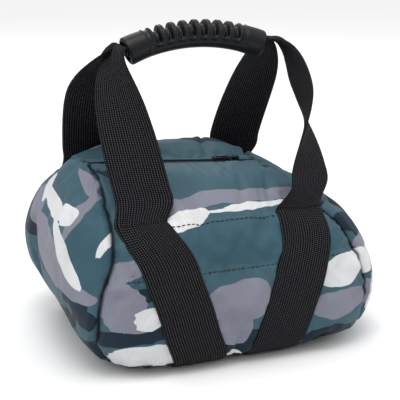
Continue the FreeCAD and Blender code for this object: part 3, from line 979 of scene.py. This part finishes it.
# %% Stations of the free webbing
RISER_STATIONS = 12
RISER_FOOT_DEPTH = 86.0     # distance from the middle along Y where the webbing leaves the bag
RISER_FOOT_HEIGHT = 151.0
RISER_LOWER_HANDLE = (62.0, 205.0)   # depth and height of the curve's lower handle
RISER_UPPER_HANDLE = (-4.0, 298.0)   # and of its upper handle
RISER_END = (60.0, 3.0, 269.0)       # where every strap ends, inside the grip
FOLD_START = 0.45           # the part of the way up where the webbing starts to fold
GRIP_END_WIDTH = 17.0       # the webbing is folded to this width inside the grip
# Each corner: the distance from the middle along X of the foot, the lower handle and the upper
# handle of its curve, the turn of the width from the Y axis at the foot, and the parts of the
# way up between which that turn is lost
RISER_CURVES = {
    ("front", "left"): (80, 85, 98, 80, 0.0, 0.9),
    ("back", "left"): (80, 88, 98, 92, 0.3, 0.95),
    ("front", "right"): (78, 85, 115, 68, 0.0, 0.5),
    ("back", "right"): (76, 73, 95, 62, 0.0, 0.9),
}


def riser_stations(foot_x, lower_x, upper_x, foot_turn, turn_from, turn_to):
    """Places on a Bezier curve with the width's turn and size: x, y, height, turn, width."""
    share = np.linspace(0, 1, RISER_STATIONS)[:, None]
    handles = np.array([(foot_x, RISER_FOOT_DEPTH, RISER_FOOT_HEIGHT), (lower_x, *RISER_LOWER_HANDLE),
                        (upper_x, *RISER_UPPER_HANDLE), RISER_END], float)
    middle = ((1 - share) ** 3 * handles[0] + 3 * share * (1 - share) ** 2 * handles[1]
              + 3 * share ** 2 * (1 - share) * handles[2] + share ** 3 * handles[3])
    turn = foot_turn * (1 - smooth(turn_from, turn_to, share))
    width = WEBBING_WIDTH - (WEBBING_WIDTH - GRIP_END_WIDTH) * smooth(FOLD_START, 1, share)
    return [tuple(row) for row in np.hstack([middle, turn, width])]


STATIONS = {corner: riser_stations(*values) for corner, values in RISER_CURVES.items()}


def riser_grid(face, end):
    """Outer surface of one free strap, from the top of its sewn run to the inside of the grip."""
    x_side = -1 if end == "left" else 1
    y_side = RUN_FACES[face]
    outer, _ = runs[face, end]
    order = slice(None) if x_side * y_side < 0 else slice(None, None, -1)
    strands = [outer[-4, order], outer[-1, order]]
    for x, y, z, turn, width in STATIONS[face, end]:
        turn = math.radians(turn)
        direction = np.array([math.sin(turn) * x_side, -math.cos(turn) * y_side, 0.0])
        centre = np.array([x_side * x, y_side * y, z])
        fold = 1 - width / WEBBING_WIDTH
        ripple = 5.0 * fold * np.cos(ACROSS * math.pi * 1.5)
        side = np.array([x_side, 0.0, 0.4])
        strands.append(centre - direction * (ACROSS * width / 2)[:, None] + side * ripple[:, None])
    if np.sum((strands[0][0] - strands[0][-1]) * (strands[2][0] - strands[2][-1])) < 0:
        strands[0] = strands[0][::-1]
        strands[1] = strands[1][::-1]
    curve = catmull(np.array(strands), 10)
    return curve[10:]


def make_riser(face, end):
    points = riser_grid(face, end)
    normals = grid_normals(points)
    away = points[len(points) // 2, 7] * np.array([1, 0, 0])
    if normals[len(points) // 2, 7] @ away < 0:
        normals = -normals
    length = np.concatenate([[0], np.cumsum(np.linalg.norm(np.diff(points[:, 7], axis=0), axis=1))])
    uv = np.stack(np.broadcast_arrays((ACROSS * WEBBING_WIDTH / 2)[None, :],
                                      (length + RUN_TOP_HEIGHT)[:, None]), axis=-1)
    thick = np.broadcast_to(strap_edge(ACROSS), points.shape[:2])
    piece = slab(f"webbing_{face}_{end}_riser", points, normals, thick, webbing, uv)
    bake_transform(piece)
    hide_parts(f"{face}_{end}_riser")
    return float(length[-1])


for face in RUN_FACES:
    for end in ("left", "right"):
        print("free webbing", face, end, round(make_riser(face, end)), "mm long")

# %% [markdown]
# ## The moulded grip
#
# The grip is a single moulding of soft black rubber, wrapped round the folded webbing. Its ends
# are smooth collars. Between them its upper side has eight round-ended slots with raised lips, so
# that the lips read as ribs, inside a shallow panel with a thin raised border. It is made as a
# tube whose radius is worked out for each point: the arch first, then the panel, the slots, the
# lips and the border.

# %% Shape of the grip
GRIP_HALF = 68.0
GRIP_END_Z = 267.0
GRIP_MID_Z = 281.0
ARCH_R = (GRIP_HALF ** 2 + (GRIP_MID_Z - GRIP_END_Z) ** 2) / (2 * (GRIP_MID_Z - GRIP_END_Z))
SLOT_COUNT = 8
SLOT_PITCH = 10.9
SLOT_HALF = 2.7
SLOT_DEPTH = 3.4
PANEL_HALF = 49.0


def grip_radius(s, angle):
    """Radius at a place along the grip and an angle round it; 90 degrees is the top."""
    away_from_top = np.abs((np.degrees(angle) - 90 + 180) % 360 - 180)
    arc = np.radians(away_from_top) * 13.0
    radius = 12.6 + 0.6 * smooth(46, 66, np.abs(s)) - 1.2 * smooth(66.0, 68.0, np.abs(s)) ** 2
    panel = (1 - smooth(PANEL_HALF - 1.5, PANEL_HALF, np.abs(s))) * (1 - smooth(27.5, 29.0, arc))
    radius = radius - 0.9 * panel
    border_s = np.abs(np.abs(s) - PANEL_HALF + 0.4)
    border_a = np.abs(arc - 28.0)
    on_ends = np.where(arc < 28.0, border_s, 9.0)
    on_sides = np.where(np.abs(s) < PANEL_HALF, border_a, 9.0)
    radius = radius + 0.8 * np.exp(-(np.minimum(on_ends, on_sides) / 0.65) ** 2)
    offset = s / SLOT_PITCH + (SLOT_COUNT - 1) / 2
    nearest = np.clip(np.round(offset), 0, SLOT_COUNT - 1)
    side = (offset - nearest) * SLOT_PITCH
    past = np.maximum(arc - 19.0, 0.0)
    gap = np.hypot(side, past) - SLOT_HALF
    slot = 1 - smooth(-1.3, 0.5, gap)
    top = 1 - 0.35 * smooth(8, 24, arc)
    lip = np.exp(-((gap - 1.7) / 1.35) ** 2)
    return radius - SLOT_DEPTH * slot + 1.5 * top * lip


def grip_points():
    s = np.linspace(-GRIP_HALF, GRIP_HALF, 273)
    angle = np.linspace(0, 2 * math.pi, 120, endpoint=False)
    s_grid, angle_grid = np.meshgrid(s, angle, indexing="ij")
    radius = grip_radius(s_grid, angle_grid)
    lean = s_grid / ARCH_R
    up = radius * np.sin(angle_grid)
    deep = radius * np.cos(angle_grid) * 1.0
    middle = GRIP_MID_Z - ARCH_R
    x = (ARCH_R + up) * np.sin(lean)
    z = middle + (ARCH_R + up) * np.cos(lean)
    return np.stack([x, deep, z], axis=-1)


def moulded_rubber():
    material, tree, shader = new_material("moulded_rubber_black")
    solid = add_node(tree, "ShaderNodeTexCoord").outputs["Object"]
    grain = add_node(tree, "ShaderNodeTexNoise", {"Vector": solid, "Scale": 1400.0, "Detail": 2.0}).outputs[0]
    wear = add_node(tree, "ShaderNodeTexNoise", {"Vector": solid, "Scale": 90.0, "Detail": 4.0}).outputs[0]
    tone = add_node(tree, "ShaderNodeValToRGB", {0: wear})
    tone.color_ramp.elements[0].color = hex_colour("050609")
    tone.color_ramp.elements[1].color = hex_colour("101217")
    tree.links.new(tone.outputs[0], shader.inputs["Base Color"])
    gloss = add_node(tree, "ShaderNodeMapRange", {"Value": wear, "To Min": 0.36, "To Max": 0.52}).outputs[0]
    tree.links.new(gloss, shader.inputs["Roughness"])
    bump = add_node(tree, "ShaderNodeBump", {
        "Height": grain, "Strength": 0.25, "Distance": 0.0002}).outputs[0]
    tree.links.new(bump, shader.inputs["Normal"])
    shader.inputs["Specular IOR Level"].default_value = 0.28
    return material


rubber = moulded_rubber()


def make_grip():
    outer = grip_points()
    rows, columns = outer.shape[:2]
    lean = np.linspace(-GRIP_HALF, GRIP_HALF, rows) / ARCH_R
    middle_z = GRIP_MID_Z - ARCH_R
    axis = np.stack([ARCH_R * np.sin(lean), 0 * lean, middle_z + ARCH_R * np.cos(lean)], axis=-1)
    inner = axis[:, None] + (outer - axis[:, None]) * 0.76
    points = np.concatenate([outer.reshape(-1, 3), inner.reshape(-1, 3)])
    count = rows * columns
    faces = grid_faces(rows, columns, wrap=True)
    faces = [tuple(reversed(f)) for f in faces] + [tuple(count + i for i in f) for f in faces]
    for row in (0, rows - 1):
        for column in range(columns):
            a = row * columns + column
            b = row * columns + (column + 1) % columns
            face = (a, b, count + b, count + a)
            faces.append(face if row == 0 else tuple(reversed(face)))
    piece = make_piece("moulded_grip", points, faces, rubber)
    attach(piece, "handle")
    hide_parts("grip")
    return piece


make_grip()
print("grip:", SLOT_COUNT, "slots at", SLOT_PITCH, "mm")

# %% [markdown]
# ## The zip
#
# A moulded zip: two woven tapes, and teeth that lock in turn. The slider and its pull are hard
# parts from the CAD model, so they keep their shape and get a finish.

# %% Zip finishes
def coated_metal(name, code, roughness):
    material, tree, shader = new_material(name)
    solid = add_node(tree, "ShaderNodeTexCoord").outputs["Object"]
    wear = add_node(tree, "ShaderNodeTexNoise", {"Vector": solid, "Scale": 500.0, "Detail": 3.0}).outputs[0]
    tone = add_node(tree, "ShaderNodeValToRGB", {0: wear})
    tone.color_ramp.elements[0].color = hex_colour(code)
    tone.color_ramp.elements[1].color = hex_colour("55565a")
    tone.color_ramp.elements[0].position = 0.55
    tree.links.new(tone.outputs[0], shader.inputs["Base Color"])
    shader.inputs["Metallic"].default_value = 0.6
    shader.inputs["Roughness"].default_value = roughness
    return material


zip_paint = coated_metal("painted_zinc_casting", "1b1c20", 0.4)
zip_plastic = coated_metal("moulded_acetal_teeth", "1a2228", 0.45)
zip_plastic.node_tree.nodes["Principled BSDF"].inputs["Metallic"].default_value = 0.0
zip_tape_cloth = woven_black("woven_polyester_zip_tape", "1d2a33", 1.0, 0.8, on_uv=False)
for node in ("zip_slider", "zip_pull", "left_zip_stop", "right_zip_stop"):
    finish_node(node, zip_paint)
for node in ("front_zip_teeth", "back_zip_teeth"):
    finish_node(node, zip_plastic)
for node in ("front_zip_tape", "back_zip_tape"):
    finish_node(node, zip_tape_cloth)


def plain_finish(name, code, roughness, scale):
    material, tree, shader = new_material(name)
    solid = add_node(tree, "ShaderNodeTexCoord").outputs["Object"]
    grain = add_node(tree, "ShaderNodeTexNoise", {"Vector": solid, "Scale": scale, "Detail": 3.0})
    base = hex_colour(code)
    tone = add_node(tree, "ShaderNodeValToRGB", {0: grain.outputs[0]})
    tone.color_ramp.elements[0].color = tuple(c * 0.7 for c in base[:3]) + (1,)
    tone.color_ramp.elements[1].color = tuple(min(1, c * 1.25) for c in base[:3]) + (1,)
    tree.links.new(tone.outputs[0], shader.inputs["Base Color"])
    shader.inputs["Roughness"].default_value = roughness
    return material


# %% [markdown]
# ## Inside the bag
#
# Nothing inside shows while the zip is shut, but an open bag needs its insides. The filling is a
# heap of dry sand in a film liner, and a stiff band is sewn behind each long panel. All of them
# are the shell's own grid moved inwards, so that they can't come through it.

# %% Sand, liner and bands
SAND_INSET = 6.5
LINER_INSET = 4.2
SAND_TOP = 146.0
LINER_TOP = 151.0


def inner_shape(name, inset, top, material, node):
    """A closed shape that follows the shell at a distance inside it, flat at the top."""
    rows = np.arange(4, ROWS - 12, 3)
    columns = np.arange(0, COLUMNS, 3)
    points = (bag - bag_normals * inset)[np.ix_(rows, columns)]
    points[..., 2] = np.clip(points[..., 2], 3.0 + inset, top - 0.075 * points[..., 0])
    points[:, :, 2] = np.maximum.accumulate(points[:, :, 2], axis=0)
    count = len(columns)
    faces = grid_faces(len(rows), count, wrap=True)
    faces.append(tuple(reversed(range(count))))
    faces.append(tuple((len(rows) - 1) * count + k for k in range(count)))
    piece = make_piece(name, points, faces, material)
    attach(piece, "bag")
    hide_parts(node)


def inner_band(face):
    start = FACE_STARTS[face]
    columns = np.arange(start + 7, start + LONG_CELLS - 6)
    rows = np.flatnonzero((cloth_height > STITCH_ROWS[0] - 2) & (cloth_height < STITCH_ROWS[1] + 2))
    outer = (bag - bag_normals * (PANEL_THICK + 0.3))[np.ix_(rows, columns)]
    normals = bag_normals[np.ix_(rows, columns)]
    piece = slab(f"stiff_band_{face}", outer, normals, np.full(outer.shape[:2], 1.1), hidden_webbing)
    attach(piece, "bag")
    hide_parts(f"{face}_inner_band")


inner_shape("sand_heap", SAND_INSET, SAND_TOP, plain_finish("dry_quartz_sand", "c8b184", 0.95, 2500.0),
            "sand_fill")
inner_shape("film_liner", LINER_INSET, LINER_TOP, plain_finish("polythene_film", "3a3b3e", 0.35, 40.0),
            "liner_bag")
for face in RUN_FACES:
    inner_band(face)

# %% [markdown]
# ## Stitches
#
# Two rows of black thread cross each long face and hold the stiffening band inside it. Stitches
# this big are best made as real geometry: one short, thick, rounded dash for each.

# %% Rows of stitches
STITCH_LENGTH = 3.4
STITCH_PITCH = 4.6
STITCH_RADIUS = 0.5
thread = plain_finish("bonded_nylon_thread", "0d1218", 0.55, 3000.0)


def dash_points(start, end, normal, radius, sides=6):
    """A short rounded dash lying on the cloth from start to end."""
    direction = normalise(end - start)
    side = normalise(np.cross(direction, normal))
    rings = []
    for t, size in ((0.0, 0.35), (0.12, 0.85), (0.5, 1.0), (0.88, 0.85), (1.0, 0.35)):
        centre = start + (end - start) * t + normal * (radius * 0.55 * math.sin(math.pi * t))
        for k in range(sides):
            angle = 2 * math.pi * k / sides
            rings.append(centre + radius * size * (side * math.cos(angle) + normal * math.sin(angle)))
    return rings


def dash_faces(first, sides=6, rings=5):
    faces = []
    for ring in range(rings - 1):
        for k in range(sides):
            a = first + ring * sides + k
            b = first + ring * sides + (k + 1) % sides
            faces.append((a, b, b + sides, a + sides))
    faces.append(tuple(first + k for k in reversed(range(sides))))
    faces.append(tuple(first + (rings - 1) * sides + k for k in range(sides)))
    return faces


def stitch_line(name, paths):
    """Dashes along paths on the cloth; each path is (face, list of (along, height))."""
    points, faces = [], []
    for face, places in paths:
        places = np.array(places, float)
        row, column = bag_place(face, places[:, 0], places[:, 1])
        line = sample_grid(bag, row, column)
        normals = normalise(sample_grid(bag_normals, row, column))
        lengths = np.concatenate([[0], np.cumsum(np.linalg.norm(np.diff(line, axis=0), axis=1))])
        at = 0.0
        while at + STITCH_LENGTH < lengths[-1]:
            ends = []
            for distance in (at, at + STITCH_LENGTH):
                ends.append(np.array([np.interp(distance, lengths, line[:, k]) for k in range(3)]))
            normal = normalise(np.array([np.interp(at, lengths, normals[:, k]) for k in range(3)]))
            first = len(points)
            points += dash_points(ends[0] + normal * 0.15, ends[1] + normal * 0.15, normal, STITCH_RADIUS)
            faces += dash_faces(first)
            at += STITCH_PITCH
    piece = make_piece(name, points, faces, thread)
    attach(piece, "bag")
    return piece


for face in RUN_FACES:
    lines = []
    for height in STITCH_ROWS:
        reach = 108 if height == STITCH_ROWS[0] else 52
        lines.append((face, [(along, height) for along in np.arange(-reach, reach, 3.0)]))
    stitch_line(f"stitches_{face}", lines)
